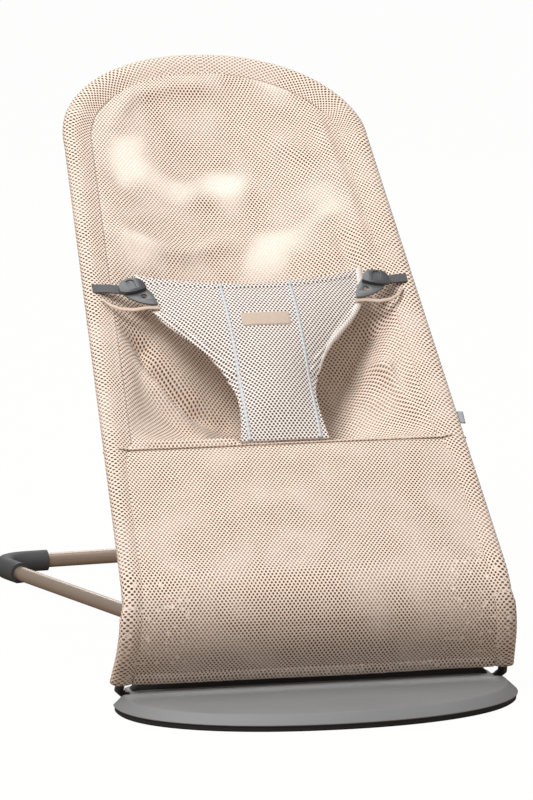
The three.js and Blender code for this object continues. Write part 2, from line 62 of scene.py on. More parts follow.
camera.data.lens = 263.68
camera.data.sensor_width = 36
camera.data.clip_end = 60
bpy.context.scene.camera = camera
bpy.context.scene.view_settings.view_transform = "Standard"


# ---- studio floor and light ----
# A plain pale floor under a big soft key light from the upper left, a wide top light, a
# weak front fill and a rear light, as in a product studio.
def paint(material, kind, place, **settings):
    """Adds one shader node. Inputs go by name or by number, as i0; (node, output) is a link."""
    tree = material.node_tree
    made = tree.nodes.new(kind)
    made.location = place
    for key, value in settings.items():
        if hasattr(made, key) and key not in made.inputs:
            setattr(made, key, value)
            continue
        if key[0] == "i" and key[1:].isdigit():
            socket = made.inputs[int(key[1:])]
        else:
            socket = made.inputs[key.replace("_", " ")]
        if isinstance(value, tuple) and len(value) == 2 and isinstance(value[0], bpy.types.Node):
            tree.links.new(value[0].outputs[value[1]], socket)
        else:
            socket.default_value = value
    return made


def new_material(name):
    material = bpy.data.materials.new(name)
    material.use_nodes = True
    material.node_tree.nodes.clear()
    return material


def finish_material(material, shader):
    out = paint(material, "ShaderNodeOutputMaterial", (900, 0))
    material.node_tree.links.new(shader.outputs[0], out.inputs["Surface"])
    return material


bpy.ops.mesh.primitive_plane_add(size=60)
floor = bpy.context.object
floor.name = "studio_floor"
floor_paint = new_material("pale_floor")
floor_white = paint(floor_paint, "ShaderNodeBsdfDiffuse", (0, 100), Color=(0.30, 0.24, 0.20, 1))
floor_glow = paint(floor_paint, "ShaderNodeEmission", (0, -100), Color=(1, 1, 1, 1), Strength=1.05)
floor_eye = paint(floor_paint, "ShaderNodeLightPath", (-200, 300))
floor_share = paint(floor_paint, "ShaderNodeMath", (0, 300), operation="MULTIPLY",
                    i0=(floor_eye, "Is Camera Ray"), i1=0.93)
floor_both = paint(floor_paint, "ShaderNodeMixShader", (300, 0), i0=(floor_share, 0),
                   i1=(floor_white, 0), i2=(floor_glow, 0))
floor.data.materials.append(finish_material(floor_paint, floor_both))

world = bpy.data.worlds.new("studio_air")
bpy.context.scene.world = world
world.use_nodes = True
world.node_tree.nodes["Background"].inputs["Color"].default_value = (1.0, 0.99, 0.975, 1)
world.node_tree.nodes["Background"].inputs["Strength"].default_value = 0.33

# Name, place, size of the square and power of each lamp.
LAMPS = (
    ("key_light", (-1.5, -1.5, 2.7), 1.2, 84),
    ("top_light", (-0.3, 0.0, 2.8), 1.8, 30),
    ("fill_light", (1.8, -2.4, 1.8), 1.6, 6),
    ("rear_light", (0.6, 2.6, 1.7), 1.6, 22),
)
for lamp_name, lamp_place, lamp_size, lamp_watts in LAMPS:
    bpy.ops.object.light_add(type="AREA", location=lamp_place)
    lamp = bpy.context.object
    lamp.name = lamp_name
    lamp.data.size = lamp_size
    lamp.data.energy = lamp_watts
    lamp.rotation_euler = (Vector((0, 0, 0.25)) - Vector(lamp_place)).to_track_quat("-Z", "Y").to_euler()


# ---- sling cover ----
# One cut of polyester air mesh, two knitted faces with staggered holes. It hangs between
# the rails from the hem, round the knee bend, over a cross seam, down into the seat
# pocket and up to the rounded head end.

# The rails run up at this tilt. A station s is measured up along them from the hinge, and
# n out of the seat's front.
TILT = math.radians(39.66)
RAIL_HEIGHT = 0.095
KNEE_S = 0.014
BEND_REACH = 0.0518
BEND_LENGTH = 0.0835
LEG_STRAIGHT = 0.0443
LEG_LENGTH = 0.0959
FOOT_HALF = 0.186
SLEEVE_INSET = 0.008
HEAD_S = 0.612
HEAD_HALF = 0.153
HEAD_RISE = 0.119
TAPER = 0.0565
CREASE = 0.217
joints = frame["record"]["behaviour"]["joints"]
hinge = Vector(next(joint for joint in joints if joint["name"] == "seat_recline")["pos_m"])


def seat_place(x, s, n):
    """A place given across the seat, up along the rails and out of the seat's front."""
    return Vector((x, hinge.y + s * math.cos(TILT) - n * math.sin(TILT),
                   hinge.z + s * math.sin(TILT) + n * math.cos(TILT)))


def through(points, at):
    """The value at a station of a smooth line through (station, value) points."""
    if at <= points[0][0]:
        return points[0][1]
    if at >= points[-1][0]:
        return points[-1][1]
    k = next(i for i in range(len(points) - 1) if at <= points[i + 1][0])
    (x0, y0), (x1, y1) = points[k], points[k + 1]
    before = points[max(k - 1, 0)]
    after = points[min(k + 2, len(points) - 1)]
    slope0 = (y1 - before[1]) / (x1 - before[0])
    slope1 = (after[1] - y0) / (after[0] - x0)
    t = (at - x0) / (x1 - x0)
    h = x1 - x0
    return ((1 + 2 * t) * (1 - t) ** 2 * y0 + t * (1 - t) ** 2 * h * slope0
            + t * t * (3 - 2 * t) * y1 + t * t * (t - 1) * h * slope1)


def half_width(s, inset):
    """Half the cover's width at a station up the rails, less an inset."""
    if s <= HEAD_S:
        return HEAD_HALF + (HEAD_S - s) * TAPER - inset
    climb = (s - HEAD_S) / (HEAD_RISE - inset)
    return (HEAD_HALF - inset) * math.sqrt(max(0.0, 1 - climb * climb))


def rail_at(length):
    """(s, n) of the rail's middle, a length along the rail from the hinge."""
    knee = Vector((KNEE_S, RAIL_HEIGHT))
    start = knee - knee.normalized() * BEND_REACH
    end = knee + Vector((BEND_REACH, 0))
    straight = start.length
    if length < straight:
        return knee.normalized() * length
    if length < straight + BEND_LENGTH:
        t = (length - straight) / BEND_LENGTH
        return start * (1 - t) ** 2 + knee * 2 * t * (1 - t) + end * t * t
    return end + Vector((length - straight - BEND_LENGTH, 0))


def rail_half(length):
    """Half the distance between the two rails' middles at a length along them."""
    if length < LEG_LENGTH:
        knee_half = half_width(KNEE_S, SLEEVE_INSET)
        return FOOT_HALF + (knee_half - FOOT_HALF) * length / LEG_LENGTH
    return half_width(rail_at(length).x, SLEEVE_INSET)


# Beyond the knee bend, the length along a rail is this much more than its station.
LENGTH_AT_S = LEG_STRAIGHT + BEND_LENGTH - KNEE_S - BEND_REACH
# The length along the rail at which the hem lies.
HEM = 0.0195
# How deep the cover's middle hangs behind the rails, by station.
SAG = ((0.0, 0.0), (0.10, -0.0015), (0.14, -0.001), (CREASE - 0.004, 0.0), (CREASE, 0.001), (0.2215, 0.010),
       (0.230, 0.034), (0.248, 0.055), (0.272, 0.065), (0.300, 0.066), (0.345, 0.055), (0.405, 0.040),
       (0.46, 0.028), (0.53, 0.024), (0.60, 0.018), (0.66, 0.009), (0.695, 0.001), (0.706, 0.0))
# Pull folds: the line each follows as (x, s) points, its height and its half width.
FOLDS = (
    (((-0.144, 0.374), (-0.131, 0.369), (-0.115, 0.361), (-0.112, 0.346), (-0.094, 0.329), (-0.075, 0.308),
      (-0.045, 0.292)), -0.0150, 0.0100),
    (((-0.112, 0.392), (-0.088, 0.362), (-0.066, 0.326), (-0.056, 0.290)), 0.0085, 0.0200),
    (((-0.140, 0.355), (-0.137, 0.315), (-0.138, 0.275)), 0.0080, 0.0080),
    (((-0.120, 0.332), (-0.098, 0.302), (-0.068, 0.272)), 0.0120, 0.0100),
    (((-0.135, 0.222), (-0.040, 0.2225)), -0.0040, 0.0030),
    (((0.150, 0.408), (0.137, 0.376), (0.114, 0.366), (0.101, 0.348), (0.088, 0.326), (0.067, 0.309)),
     -0.0140, 0.0130),
    (((0.110, 0.332), (0.121, 0.319), (0.131, 0.281), (0.142, 0.248), (0.152, 0.239)), 0.0050, 0.0042),
    (((0.137, 0.362), (0.126, 0.330), (0.110, 0.296)), 0.0100, 0.0130),
    (((0.100, 0.290), (0.072, 0.262)), 0.0050, 0.0100),
    (((-0.100, 0.641), (-0.077, 0.675), (-0.033, 0.688), (0.013, 0.688)), 0.0040, 0.0090),
    (((-0.138, 0.513), (-0.106, 0.490), (-0.057, 0.481), (0.007, 0.500)), 0.0045, 0.0110),
    (((-0.132, 0.590), (-0.100, 0.560), (-0.060, 0.530)), -0.0034, 0.0110),
    (((0.045, 0.638), (0.075, 0.607), (0.100, 0.576)), 0.0045, 0.0110),
    (((-0.071, 0.579), (-0.024, 0.553), (0.037, 0.557)), 0.0038, 0.0120),
    (((0.128, 0.450), (0.122, 0.540), (0.108, 0.650)), 0.0050, 0.0070),
    (((0.110, 0.440), (0.102, 0.500)), -0.0045, 0.0080),
    (((-0.120, 0.120), (0.060, 0.160)), 0.0022, 0.0180),
    (((0.155, 0.070), (0.060, 0.130)), 0.0024, 0.0150),
    (((-0.150, 0.185), (-0.090, 0.150)), -0.0020, 0.0120),
)


def clamp(value):
    """The value, kept between 0 and 1."""
    return max(0.0, min(1.0, value))


def fold_height(x, s):
    """The sum of the pull folds at a place on the cover."""
    total = 0.0
    for line, height, width in FOLDS:
        if s < min(p[1] for p in line) - 3 * width or s > max(p[1] for p in line) + 3 * width:
            continue
        nearest = 1.0
        for (ax, ay), (bx, by) in zip(line[:-1], line[1:]):
            dx, dy = bx - ax, by - ay
            t = clamp(((x - ax) * dx + (s - ay) * dy) / (dx * dx + dy * dy))
            nearest = min(nearest, math.hypot(x - ax - t * dx, s - ay - t * dy))
        (ax, ay), (bx, by) = line[0], line[-1]
        end = min(1.0, min(math.hypot(x - ax, s - ay), math.hypot(x - bx, s - by)) / (2.5 * width))
        total += height * (0.35 + 0.65 * end) * math.exp(-(nearest / width) ** 2)
    return total


COVER_COLUMNS = 132
COVER_ROWS = 300
# The cover's edge lies inside the sleeve, this far from the rail's middle.
COVER_INSET = 0.0085
COVER_TOP = 0.7145
cover_length = COVER_TOP + LENGTH_AT_S


def cover_station(row):
    """The length along the rail of one row of the cover; rows gather at the head end."""
    share = row / COVER_ROWS
    return HEM + (cover_length - HEM) * (1 - (1 - share) ** 1.12)


def head_lean(x, s):
    """The head end stands a little higher at the left than at the right."""
    return -0.030 * x * clamp((s - HEAD_S) / 0.04)


def cover_point(u, length):
    """A place on the sling, u from -1 at the left rail to 1 at the right."""
    at = rail_at(length)
    s = at.x
    if s > 0.09:
        half = half_width(s, SLEEVE_INSET + COVER_INSET)
    else:
        half = rail_half(length) - COVER_INSET
    x = u * half
    ahead = rail_at(length + 0.001)
    tangent = (ahead - at).normalized()
    normal = Vector((-tangent.y, tangent.x))
    inside = abs(x) / (half - 0.0105)
    # The sag fades to nothing at the sleeves, and sooner on the back than in the pocket.
    power = 1 + 0.8 * clamp((s - 0.42) / 0.08)
    hollow = max(0.0, 1 - inside ** 2.2) ** power
    # A shelf of slack cloth above the cross seam moves the pocket's start up, more so at
    # the left.
    shelf = 0.012 * clamp((-0.030 - x) / 0.020) + 0.003 * clamp(x / 0.05)
    shelf *= clamp((0.300 - s) / 0.040)
    depth = through(SAG, s - shelf if s > CREASE else s) if s > 0.02 else 0.0
    edge = min(1.0, max(0.0, 1 - inside) * 6)
    ripple = fold_height(x, s) * edge if s > 0.03 else 0.0
    ripple += 0.0011 * noise.noise(Vector((x * 9, length * 9, 0.3))) * edge
    lift = -depth * hollow + ripple
    # The knitted face lies just in front of the rails' middle line on the leg.
    lift += 0.0040 * (1 - clamp((s - 0.2) / 0.03)) * (1 - 0.25 * u * u)
    place = at + normal * lift
    return seat_place(x, place.x + head_lean(x, s), place.y)


def apply_all(piece):
    bpy.ops.object.select_all(action="DESELECT")
    piece.select_set(True)
    bpy.context.view_layer.objects.active = piece
    for modifier in list(piece.modifiers):
        bpy.ops.object.modifier_apply(modifier=modifier.name)


def give_thickness(piece, thickness, offset=0.0):
    """Turns a sheet into cloth of a real thickness, centred on it unless an offset is given."""
    wall = piece.modifiers.new("cloth thickness", "SOLIDIFY")
    wall.thickness = thickness
    wall.offset = offset
    apply_all(piece)


def lay_grid(name, columns, rows, place, flat):
    """A grid moved to place(column share, row share), with its flat cut as UV in metres."""
    bpy.ops.object.select_all(action="DESELECT")
    bpy.ops.mesh.primitive_grid_add(x_subdivisions=columns, y_subdivisions=rows, size=2)
    piece = bpy.context.object
    piece.name = name
    shares = [((v.co.x + 1) / 2, (v.co.y + 1) / 2) for v in piece.data.vertices]
    flats = [flat(*share) for share in shares]
    layer = piece.data.uv_layers[0] if piece.data.uv_layers else piece.data.uv_layers.new(name="cut")
    for loop in piece.data.loops:
        layer.data[loop.index].uv = flats[loop.vertex_index]
    for vertex, share in zip(piece.data.vertices, shares):
        vertex.co = place(*share)
    bpy.ops.object.shade_smooth()
    return piece


def cover_flat(a, b):
    length = cover_station(b * COVER_ROWS)
    return ((2 * a - 1) * (rail_half(length) - COVER_INSET), length)


cover = lay_grid("sling_cover", COVER_COLUMNS, COVER_ROWS,
                 lambda a, b: cover_point(2 * a - 1, cover_station(b * COVER_ROWS)), cover_flat)
give_thickness(cover, 0.0022)


def reckon(material, place, operation, first, second=0.5):
    """One arithmetic node on numbers or links."""
    return paint(material, "ShaderNodeMath", place, operation=operation, i0=first, i1=second)


def ramp(material, place, value, low, high, most=1.0, kind="SMOOTHSTEP"):
    """Rises from 0 where the value is at low to most where it is at high."""
    return paint(material, "ShaderNodeMapRange", place, interpolation_type=kind, Value=value,
                 From_Min=low, From_Max=high, To_Min=0.0, To_Max=most)


def mix(material, place, share, first, second):
    """Blends from the first colour to the second by a share."""
    return paint(material, "ShaderNodeMix", place, data_type="RGBA", Factor=share, i6=first, i7=second)


# Rows of holes lie closer together than the holes in a row, by this share.
ROW_SHARE = 0.645


def knit_material(name, yarn, hole_shade, glint, pitch, hole_size, bright):
    """Air mesh: a knitted face with staggered holes over a second face; the holes show painted shade, lit up
    with painted light in places.
    """
    cloth = new_material(name)
    flat = paint(cloth, "ShaderNodeUVMap", (-1800, 0))
    wander = paint(cloth, "ShaderNodeTexNoise", (-1800, -300), Scale=16.0, Detail=1.0,
                   Vector=(flat, 0))
    shift = paint(cloth, "ShaderNodeVectorMath", (-1600, -300), operation="MULTIPLY_ADD",
                  i0=(wander, "Color"), i1=(pitch * 2.0, pitch * 2.0, 0), i2=(flat, 0))
    faces = []
    for level, (source, size) in enumerate(((flat, pitch), (shift, pitch * 1.018))):
        y = -500 * level
        split = paint(cloth, "ShaderNodeSeparateXYZ", (-1400, y), Vector=(source, 0))
        along = reckon(cloth, (-1200, y), "DIVIDE", (split, 1), size * ROW_SHARE)
        row = reckon(cloth, (-1000, y), "FLOOR", (along, 0))
        odd = reckon(cloth, (-850, y), "MODULO", (row, 0), 2.0)
        half = reckon(cloth, (-700, y), "MULTIPLY", (odd, 0), 0.5)
        across = reckon(cloth, (-1200, y - 160), "DIVIDE", (split, 0), size)
        pushed = reckon(cloth, (-550, y - 160), "ADD", (across, 0), (half, 0))
        cell_x = reckon(cloth, (-400, y - 160), "FRACT", (pushed, 0))
        cell_y = reckon(cloth, (-400, y), "FRACT", (along, 0))
        both = paint(cloth, "ShaderNodeCombineXYZ", (-250, y), X=(cell_x, 0), Y=(cell_y, 0))
        centred = paint(cloth, "ShaderNodeVectorMath", (-100, y), operation="MULTIPLY_ADD",
                        i0=(both, 0), i1=(1.0, 0.60, 0), i2=(-0.5, -0.30, 0))
        gap = paint(cloth, "ShaderNodeVectorMath", (50, y), operation="LENGTH", i0=(centred, 0))
        faces.append(ramp(cloth, (200, y), (gap, "Value"), hole_size * 1.25, hole_size * 0.6))
    front, back = faces
    # Where the second face's holes line up with the front's, painted light shows through the holes.
    seen = reckon(cloth, (400, -500), "MULTIPLY", (back, 0), bright * 0.30)
    # Broad patches of painted light in the holes in the middle of the back part, where the mesh is seen
    # through.
    patches = paint(cloth, "ShaderNodeTexNoise", (200, -800), Scale=15.0, Detail=0.5, Roughness=0.4,
                    Distortion=0.3, Vector=(flat, 0))
    patch = ramp(cloth, (400, -800), (patches, "Fac"), 0.48, 0.74, bright)
    split = paint(cloth, "ShaderNodeSeparateXYZ", (0, -1000), Vector=(flat, 0))
    side = reckon(cloth, (0, -1200), "ABSOLUTE", (split, 0))
    upper = ramp(cloth, (200, -1000), (split, 1), 0.47, 0.56)
    middle = ramp(cloth, (400, -1200), (side, 0), 0.135, 0.095)
    high = reckon(cloth, (550, -900), "MULTIPLY", (patch, 0), (upper, 0))
    soft = reckon(cloth, (600, -1200), "MULTIPLY", (high, 0), (middle, 0))
    # Small glints low on both sides of the leg.
    specks = paint(cloth, "ShaderNodeTexNoise", (200, -1600), Scale=210.0, Detail=1.0, Vector=(flat, 0))
    speck = ramp(cloth, (400, -1600), (specks, "Fac"), 0.62, 0.66, bright * 0.8, "LINEAR")
    outer = ramp(cloth, (200, -1200), (side, 0), 0.105, 0.135)
    lower = ramp(cloth, (200, -1400), (split, 1), 0.175, 0.110)
    corner = reckon(cloth, (400, -1300), "MULTIPLY", (outer, 0), (lower, 0))
    low = reckon(cloth, (550, -1300), "MULTIPLY", (corner, 0), (speck, 0))
    pale = reckon(cloth, (600, -1000), "MAXIMUM", (soft, 0), (low, 0))
    most = reckon(cloth, (500, -650), "MAXIMUM", (seen, 0), (pale, 0))
    # The holes' colour: painted shade, turned towards painted light by the masks above.
    hole_shade_and_light = mix(cloth, (550, -300), (most, 0), (*hole_shade, 1), (*glint, 1))
    mottle = paint(cloth, "ShaderNodeTexNoise", (200, 300), Scale=260.0, Detail=2.0, Vector=(flat, 0))
    yarn_mix = mix(cloth, (400, 300), (mottle, "Fac"), (*[c * 0.80 for c in yarn], 1),
                   (*[min(1, c * 1.08) for c in yarn], 1))
    colour = mix(cloth, (700, 0), (front, 0), (yarn_mix, 2), (hole_shade_and_light, 2))
    relief = paint(cloth, "ShaderNodeBump", (700, -300), Strength=0.55, Distance=0.0006, invert=True,
                   Height=(front, 0))
    skin = paint(cloth, "ShaderNodeBsdfPrincipled", (850, 0), Roughness=0.72, Sheen_Weight=0.22,
                 Sheen_Roughness=0.4, Specular_IOR_Level=0.25, Base_Color=(colour, 2), Normal=(relief, 0))
    return finish_material(cloth, skin)


# The second colour is painted shade in the holes, the third painted light seen through them.
sling_knit = knit_material("pearly_pink_air_mesh", (0.91, 0.73, 0.60), (0.055, 0.029, 0.018),
                           (1.0, 0.95, 0.91), 0.0038, 0.282, 0.85)
cover.data.materials.append(sling_knit)
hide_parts("fabric_seat", "fabric_back")
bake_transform(cover)


# ---- cross seam and hem ----
# A corded seam crosses the sling where the leg part meets the pocket, and the lower edge
# is folded up into a hem as wide as a finger. Both are the sling's own mesh.
seam_length = CREASE + LENGTH_AT_S


def seam_place(a, b):
    turn = 2 * math.pi * a
    s = rail_at(seam_length).x
    reach = half_width(s, 0.0) + 0.0022
    x = reach * (2 * b - 1)
    ridge = 0.0010 + 0.0003 * noise.noise(Vector((b * 90, 0.0, 1.0)))
    half = half_width(s, SLEEVE_INSET + COVER_INSET)
    along = max(0.0, (abs(x) - half + 0.006) / (reach - half + 0.006))
    top = 0.0038 + 0.0022 * math.sin(min(1.0, along * 1.4) * math.pi) - 0.0030 * along ** 4
    return seat_place(x, s + ridge * math.cos(turn), RAIL_HEIGHT + top + ridge * math.sin(turn))


cross_seam = lay_grid("cross_seam", 10, 150, seam_place, lambda a, b: (0.35 * b, 0.009 * a))
cross_seam.data.materials.append(sling_knit)
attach(cross_seam, "seat")


def part_way(points, share):
    """The point a share of the way through a list of points, with every step counted alike."""
    here = share * (len(points) - 1)
    k = min(int(here), len(points) - 2)
    t = here - k
    return tuple(first * (1 - t) + second * t for first, second in zip(points[k], points[k + 1]))


# The hem's fold in section: (length up from the hem, height in front of the cover).
HEM_FOLD = ((0.0125, 0.0013), (0.0105, 0.0022), (0.0050, 0.0026), (0.0005, 0.0022), (-0.0014, 0.0008),
            (-0.0014, -0.0010), (0.0005, -0.0020), (0.0050, -0.0022), (0.0125, -0.0014))


def hem_place(a, b):
    reach, proud = part_way(HEM_FOLD, a)
    u = 0.99 * (2 * b - 1)
    length = HEM + reach + 0.0005 * noise.noise(Vector((b * 40, 0.0, 2.0)))
    face = (cover_point(u, length + 0.001) - cover_point(u, length)).cross(Vector((-1, 0, 0))).normalized()
    return cover_point(u, length) + face * proud


hem = lay_grid("sling_hem", 20, 150, hem_place, lambda a, b: (0.36 * b, 0.028 * a))
hem.data.materials.append(sling_knit)
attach(hem, "seat")


# ---- side sleeves ----
# The cover's edge is folded round each rail and over the head hoop, and sewn back on
# itself, so a flat channel with the tube inside runs round the whole seat.

# The channel in section: (distance out from the tube's middle, height in front of it).
SLEEVE = ((-0.0185, 0.0009), (-0.0150, 0.0018), (-0.0105, 0.0036), (-0.0060, 0.0050), (-0.0015, 0.0058),
          (0.0025, 0.0052), (0.0050, 0.0032), (0.0060, 0.0), (0.0050, -0.0034), (0.0022, -0.0054),
          (-0.0020, -0.0060), (-0.0070, -0.0050), (-0.0125, -0.0036), (-0.0185, -0.0022))
RAIL_STEPS = 200
ARCH_STEPS = 120
# The arch's mean radius, which turns an angle round the head into a length of sleeve.
ARCH_RADIUS = 0.131


def sleeve_line():
    """(place, outward way, length) steps round the frame, from the left hem to the right."""
    line = []
    top = HEAD_S + LENGTH_AT_S
    for i in range(RAIL_STEPS + 1):
        length = HEM + (top - HEM) * i / RAIL_STEPS
        at = rail_at(length)
        line.append(((-rail_half(length), at.x, at.y), (-1.0, 0.0, 0.0), length))
    across = HEAD_HALF - SLEEVE_INSET
    up = HEAD_RISE - SLEEVE_INSET
    for i in range(1, ARCH_STEPS):
        turn = math.pi - math.pi * i / ARCH_STEPS
        out = Vector((math.cos(turn) * up, math.sin(turn) * across)).normalized()
        line.append(((across * math.cos(turn), HEAD_S + up * math.sin(turn), RAIL_HEIGHT),
                     (out.x, out.y, 0.0), top + (math.pi - turn) * ARCH_RADIUS))
    for i in range(RAIL_STEPS, -1, -1):
        length = HEM + (top - HEM) * i / RAIL_STEPS
        at = rail_at(length)
        line.append(((rail_half(length), at.x, at.y), (1.0, 0.0, 0.0),
                     2 * top + math.pi * ARCH_RADIUS - length))
    return line


sleeve_path = sleeve_line()


def sleeve_place(a, b):
    here = b * (len(sleeve_path) - 1)
    k = min(int(here), len(sleeve_path) - 2)
    t = here - k
    first, second = sleeve_path[k], sleeve_path[k + 1]
    centre = Vector(first[0]).lerp(Vector(second[0]), t)
    out = Vector(first[1]).lerp(Vector(second[1]), t).normalized()
    ahead = (Vector(second[0]) - Vector(first[0])).normalized()
    face = out.cross(ahead).normalized()
    if face.z < 0 or (abs(face.z) < 0.05 and face.y > 0):
        face = -face
    o, m = part_way(SLEEVE, a)
    # The channel stands off the outside of the tube, as cloth over a wire does.
    loose = clamp((o + 0.002) / 0.006)
    spare = 0.003 * abs(out.x) + 0.003 * abs(out.x * out.y)
    if abs(centre.z) < RAIL_HEIGHT - 0.01:
        spare += 0.0012
    place = centre + out * (o + spare * loose) + face * m
    place.y += head_lean(place.x, place.y)
    return seat_place(*place)


sleeve_lengths = [item[2] for item in sleeve_path]
sleeve_round = [0.0]
for (o0, m0), (o1, m1) in zip(SLEEVE[:-1], SLEEVE[1:]):
    sleeve_round.append(sleeve_round[-1] + math.hypot(o1 - o0, m1 - m0))


def sleeve_flat(a, b):
    here = b * (len(sleeve_path) - 1)
    k = min(int(here), len(sleeve_path) - 2)
    length = sleeve_lengths[k] + (sleeve_lengths[k + 1] - sleeve_lengths[k]) * (here - k)
    j = min(int(a * (len(SLEEVE) - 1)), len(SLEEVE) - 2)
    f = a * (len(SLEEVE) - 1) - j
    across = sleeve_round[j] * (1 - f) + sleeve_round[j + 1] * f
    return (across - HEAD_HALF - 0.012, min(length, sleeve_lengths[-1] + HEM - length))


sleeve = lay_grid("sling_sleeve", 26, len(sleeve_path) - 1, sleeve_place, sleeve_flat)
give_thickness(sleeve, 0.0008)
sleeve.data.materials.append(sling_knit)
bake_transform(sleeve)


# ---- restraint panel ----
# A soft bib of thicker air mesh in off-white. It is sewn into the cross seam between the
# legs, widens under the arms and ends in two corners that carry the plastic tabs.

# The panel's middle line as (share of its height, station, height), and its half width by
# station.
PANEL_LINE = ((0.0, 0.2205, 0.0985), (0.2, 0.262, 0.112), (0.4, 0.305, 0.118), (0.6, 0.345, 0.119),
              (0.8, 0.380, 0.117), (1.0, 0.406, 0.113))
PANEL_WIDTH = ((0.2205, 0.0435), (0.250, 0.039), (0.270, 0.0385), (0.284, 0.041), (0.305, 0.0495),
               (0.325, 0.062), (0.345, 0.081), (0.362, 0.097), (0.380, 0.108), (0.406, 0.114))
PANEL_HEIGHT = 0.19
PANEL_CORNER_RISE = 0.030
PANEL_CORNER_DROP = 0.016


def panel_station(v):
    """The station of the panel's middle line, v from 0 at the cross seam to 1 at the top."""
    return through([(p[0], p[1]) for p in PANEL_LINE], v)


def panel_place(u, v, proud=0.0):
    """A place on the panel: u from -1 to 1 across, v from 0 at the cross seam to 1 at the top."""
    s = panel_station(v)
    n = through([(p[0], p[2]) for p in PANEL_LINE], v)
    x = u * through(PANEL_WIDTH, s)
    s += PANEL_CORNER_RISE * u * u * v ** 3
    n -= PANEL_CORNER_DROP * u * u * min(1.0, 3 * v)
    n += 0.0007 * noise.noise(Vector((x * 22, s * 22, 4.0)))
    return seat_place(x, s, n + proud)


def panel_flat(a, b):
    s = panel_station(b)
    u = 2 * a - 1
    return (u * through(PANEL_WIDTH, s), s + PANEL_CORNER_RISE * u * u * b ** 3)


def panel_lift(u, v):
    """The folded hem along both curved sides and the top stands a little proud."""
    side = (1 - abs(u)) * through(PANEL_WIDTH, panel_station(v))
    top = (1 - v) * PANEL_HEIGHT
    gap = min(side + (0.02 if v < 0.35 else 0.0), top)
    return 0.0012 * (1 - clamp((gap - 0.008) / 0.0025))


def round_edges(piece, width, segments, angle):
    """Rounds the edges that are sharper than an angle in degrees."""
    rounding = piece.modifiers.new("rounded edges", "BEVEL")
    rounding.width = width
    rounding.segments = segments
    rounding.limit_method = "ANGLE"
    rounding.angle_limit = math.radians(angle)
    apply_all(piece)


panel = lay_grid("restraint_bib", 90, 120,
                 lambda a, b: panel_place(2 * a - 1, b, panel_lift(2 * a - 1, b)), panel_flat)
give_thickness(panel, 0.0032)
round_edges(panel, 0.0011, 2, 60)
bpy.ops.object.shade_smooth_by_angle(angle=math.radians(50))
# Its holes carry painted shade, and a little painted light seen through them.
panel.data.materials.append(knit_material("off_white_air_mesh", (0.93, 0.84, 0.785), (0.05, 0.030, 0.022),
                                          (0.62, 0.52, 0.45), 0.0038, 0.305, 0.12))
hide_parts("restraint_panel")
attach(panel, "seat")


# ---- reflective pipings ----
# Two narrow ribbons of grey reflective yarn, which stand a little round. They are sewn on
# the panel from the cross seam to the top edge.
def ribbed_material(name, colour, dark, pitch, along, rough, **skin_values):
    """Woven ribbon or webbing, ribbed along one way of the piece's own flat cut."""
    made = new_material(name)
    flat = paint(made, "ShaderNodeUVMap", (-1200, 0))
    split = paint(made, "ShaderNodeSeparateXYZ", (-1000, 0), Vector=(flat, 0))
    rib = reckon(made, (-800, 0), "MULTIPLY", (split, along), 2 * math.pi / pitch)
    wave = reckon(made, (-600, 0), "SINE", (rib, 0))
    thread = reckon(made, (-800, -200), "MULTIPLY", (split, 1 - along), 2 * math.pi / (pitch * 0.8))
    cross = reckon(made, (-600, -200), "SINE", (thread, 0))
    woven = reckon(made, (-400, -100), "MULTIPLY", (wave, 0), (cross, 0))
    level = paint(made, "ShaderNodeMapRange", (-200, 0), Value=(woven, 0), From_Min=-1.0)
    tone = mix(made, (0, 100), (level, 0), (*dark, 1), (*colour, 1))
    relief = paint(made, "ShaderNodeBump", (0, -200), Strength=0.5, Distance=0.0004, Height=(level, 0))
    skin = paint(made, "ShaderNodeBsdfPrincipled", (300, 0), Roughness=rough, Base_Color=(tone, 2),
                 Normal=(relief, 0), **skin_values)
    return finish_material(made, skin)


PIPING_X = 0.0345
PIPING_HALF = 0.0016
piping_ribbon = ribbed_material("reflective_ribbon", (0.60, 0.63, 0.65), (0.42, 0.45, 0.47), 0.0012, 1, 0.35,
                                Specular_IOR_Level=0.7)


def piping_place(side):
    def place(a, b):
        turn = math.pi * a
        x = side * PIPING_X - math.cos(turn) * PIPING_HALF
        u = x / through(PANEL_WIDTH, panel_station(b))
        return panel_place(u, b, 0.0016 + panel_lift(u, b) + 0.0011 * math.sin(turn))
    return place


SIDES = (("left", -1), ("right", 1))
for label, side in SIDES:
    piping = lay_grid(f"piping_{label}", 8, 110, piping_place(side),
                      lambda a, b: (a * PIPING_HALF * 2, b * PANEL_HEIGHT))
    give_thickness(piping, 0.0004, -1.0)
    piping.data.materials.append(piping_ribbon)
    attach(piping, "seat")


# ---- panel bindings ----
# The curved sides of the panel are bound with a folded strip of the same mesh in a finer
# knit, which widens from the narrow part to the top corners.
# Its holes carry painted shade, and a little painted light seen through them.
binding_knit = knit_material("off_white_binding", (0.88, 0.80, 0.75), (0.25, 0.17, 0.13), (0.8, 0.7, 0.65),
                             0.0023, 0.20, 0.1)
BINDING_WIDE = 0.0062
BINDING_LOW = 0.36
BINDING_RISE = 0.645
for label, side in SIDES:
    def binding_place(a, b, side=side):
        v = BINDING_LOW + BINDING_RISE * b
        half = through(PANEL_WIDTH, panel_station(min(v, 1.0)))
        grown = min(1.0, 0.15 + 2.5 * b)
        across = grown * BINDING_WIDE / half
        bulge = grown * math.sin(math.pi * a)
        return panel_place(side * (1.003 - across * a), min(v, 1.0), 0.0018 + 0.0013 * bulge)

    binding = lay_grid(f"panel_binding_{label}", 8, 70, binding_place,
                       lambda a, b: (a * BINDING_WIDE, b * 0.15))
    give_thickness(binding, 0.0010, -1.0)
    binding.data.materials.append(binding_knit)
    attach(binding, "seat")


# ---- chest label ----
# A small blank tag of beige satin ribbon, with its ends folded under. It is sewn flat on
# the panel near its top.
LABEL_HALF = 0.0235
LABEL_LOW = 0.617
LABEL_RISE = 0.09


